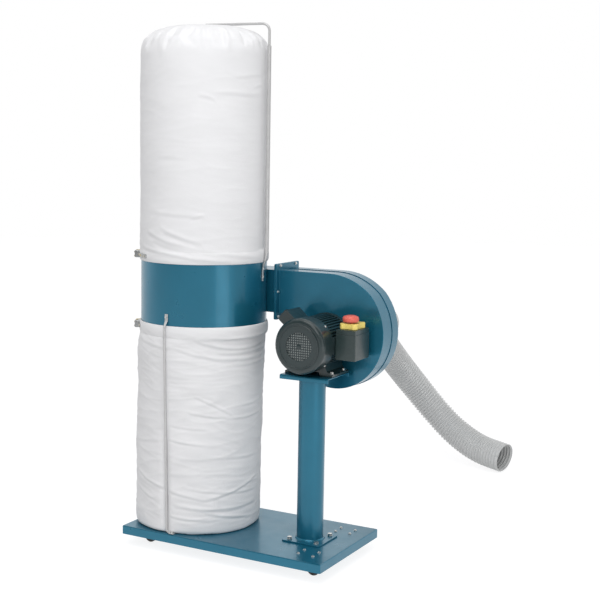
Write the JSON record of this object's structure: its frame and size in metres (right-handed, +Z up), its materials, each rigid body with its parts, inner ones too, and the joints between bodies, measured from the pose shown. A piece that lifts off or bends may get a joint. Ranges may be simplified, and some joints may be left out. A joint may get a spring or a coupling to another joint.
{
  "type": "dust collector",
  "caption": "Bag dust collector: blue wheeled base tray, post with motor and side fan housing, ring drum between an upper filter bag and a lower collection bag, grey intake hose.",
  "frame": {"origin": "on the floor, at the middle of the machine's footprint without its hose", "axes": "+X to the right seen from the front, the motor end of the base; +Y to the back, where the hose leaves; +Z up"},
  "size_m": [0.9712, 1.9469, 1.9913],
  "materials": {
    "blue_paint": "glossy powder coat",
    "motor_paint": "satin dark grey paint",
    "motor_plastic": "matte",
    "switch_plastic": "matte",
    "zinc": "bright zinc plate",
    "bearing_steel": "ground steel",
    "impeller_aluminium": "as cast",
    "wheel_nylon": "matte black",
    "bag_cloth": "plain woven white cloth",
    "yellow_plastic": "satin",
    "red_plastic": "satin",
    "green_plastic": "satin",
    "hose_plastic": "translucent grey, corrugated",
    "cuff_rubber": "matte"
  },
  "bodies": {
    "machine": {"base_tray": "blue_paint", "capacitor_box": "motor_plastic", "castor_plate_back_left": "zinc", "castor_plate_back_right": "zinc", "castor_plate_front_left": "zinc", "castor_plate_front_right": "zinc", "clamp_band_lower": "zinc", "clamp_band_upper": "zinc", "drive_end_bearing": "bearing_steel", "drive_end_bell": "motor_paint", "drum": "blue_paint", "drum_duct": "blue_paint", "fan_cowl": "motor_paint", "fan_end_bearing": "bearing_steel", "fan_end_bell": "motor_paint", "foot_bolt_1": "zinc", "foot_bolt_2": "zinc", "foot_bolt_3": "zinc", "foot_bolt_4": "zinc", "hanger_arm": "zinc", "hanger_lower": "zinc", "hose": "hose_plastic", "hose_clamp": "zinc", "hose_cuff": "cuff_rubber", "lower_bag": "bag_cloth", "motor_body": "motor_paint", "motor_plate": "blue_paint", "post_foot": "blue_paint", "post_tube": "blue_paint", "support_rod_1": "zinc", "support_rod_2": "zinc", "switch_box": "switch_plastic", "switch_lid": "switch_plastic", "upper_bag": "bag_cloth", "volute_cover": "blue_paint", "volute_housing": "blue_paint"},
    "rotor": {"motor_shaft": "bearing_steel", "motor_rotor": "bearing_steel", "impeller": "impeller_aluminium", "cooling_fan": "motor_plastic"},
    "castor_front_left": {"castor_fork_front_left": "zinc", "castor_axle_front_left": "zinc"},
    "wheel_front_left": {"castor_wheel_front_left": "wheel_nylon"},
    "castor_front_right": {"castor_fork_front_right": "zinc", "castor_axle_front_right": "zinc"},
    "wheel_front_right": {"castor_wheel_front_right": "wheel_nylon"},
    "castor_back_left": {"castor_fork_back_left": "zinc", "castor_axle_back_left": "zinc"},
    "wheel_back_left": {"castor_wheel_back_left": "wheel_nylon"},
    "castor_back_right": {"castor_fork_back_right": "zinc", "castor_axle_back_right": "zinc"},
    "wheel_back_right": {"castor_wheel_back_right": "wheel_nylon"},
    "cover": {"switch_cover": "yellow_plastic"},
    "mushroom": {"stop_mushroom": "red_plastic"},
    "stop_button": {"stop_button": "red_plastic"},
    "start_button": {"start_button": "green_plastic"},
    "screw_upper": {"clamp_screw_upper": "zinc"},
    "screw_lower": {"clamp_screw_lower": "zinc"}
  },
  "joints": [
    {"name": "rotor_spin", "type": "hinge", "parent": "machine", "child": "rotor", "pos_m": [0.25053, -0.02464, 0.82], "axis": [0, 1, 0], "continuous": true},
    {"name": "castor_swivel_front_left", "type": "hinge", "parent": "machine", "child": "castor_front_left", "pos_m": [-0.34647, -0.17464, 0.06], "axis": [0, 0, 1], "continuous": true},
    {"name": "wheel_spin_front_left", "type": "hinge", "parent": "castor_front_left", "child": "wheel_front_left", "pos_m": [-0.36847, -0.17464, 0.025], "axis": [0, 1, 0], "continuous": true},
    {"name": "castor_swivel_front_right", "type": "hinge", "parent": "machine", "child": "castor_front_right", "pos_m": [0.32553, -0.17464, 0.06], "axis": [0, 0, 1], "continuous": true},
    {"name": "wheel_spin_front_right", "type": "hinge", "parent": "castor_front_right", "child": "wheel_front_right", "pos_m": [0.34753, -0.17464, 0.025], "axis": [0, 1, 0], "continuous": true},
    {"name": "castor_swivel_back_left", "type": "hinge", "parent": "machine", "child": "castor_back_left", "pos_m": [-0.34647, 0.12536, 0.06], "axis": [0, 0, 1], "continuous": true},
    {"name": "wheel_spin_back_left", "type": "hinge", "parent": "castor_back_left", "child": "wheel_back_left", "pos_m": [-0.36847, 0.12536, 0.025], "axis": [0, 1, 0], "continuous": true},
    {"name": "castor_swivel_back_right", "type": "hinge", "parent": "machine", "child": "castor_back_right", "pos_m": [0.32553, 0.12536, 0.06], "axis": [0, 0, 1], "continuous": true},
    {"name": "wheel_spin_back_right", "type": "hinge", "parent": "castor_back_right", "child": "wheel_back_right", "pos_m": [0.34753, 0.12536, 0.025], "axis": [0, 1, 0], "continuous": true},
    {"name": "cover_hinge", "type": "hinge", "parent": "machine", "child": "cover", "pos_m": [0.39183, 0.06536, 0.8868], "axis": [-1, 0, 0], "range_deg": [0, 70]},
    {"name": "mushroom_press", "type": "slide", "parent": "cover", "child": "mushroom", "axis": [0, 0, -1], "range_m": [0, 0.004], "stiffness_N_per_m": 600, "springref_m": -0.004},
    {"name": "stop_press", "type": "slide", "parent": "machine", "child": "stop_button", "axis": [0, 0, -1], "range_m": [0, 0.004], "stiffness_N_per_m": 300, "springref_m": -0.004},
    {"name": "start_press", "type": "slide", "parent": "machine", "child": "start_button", "axis": [0, 0, -1], "range_m": [0, 0.002], "stiffness_N_per_m": 400, "springref_m": -0.004},
    {"name": "clamp_screw_upper_turn", "type": "hinge", "parent": "machine", "child": "screw_upper", "pos_m": [-0.45888, -0.14187, 1.1206], "axis": [0.4848, -0.8746, 0], "continuous": true},
    {"name": "clamp_screw_lower_turn", "type": "hinge", "parent": "machine", "child": "screw_lower", "pos_m": [-0.45888, -0.14187, 0.8499], "axis": [0.4848, -0.8746, 0], "continuous": true}
  ],
  "couplings": [
    {"joint": "stop_press", "follows": "mushroom_press", "ratio": 1}
  ]
}
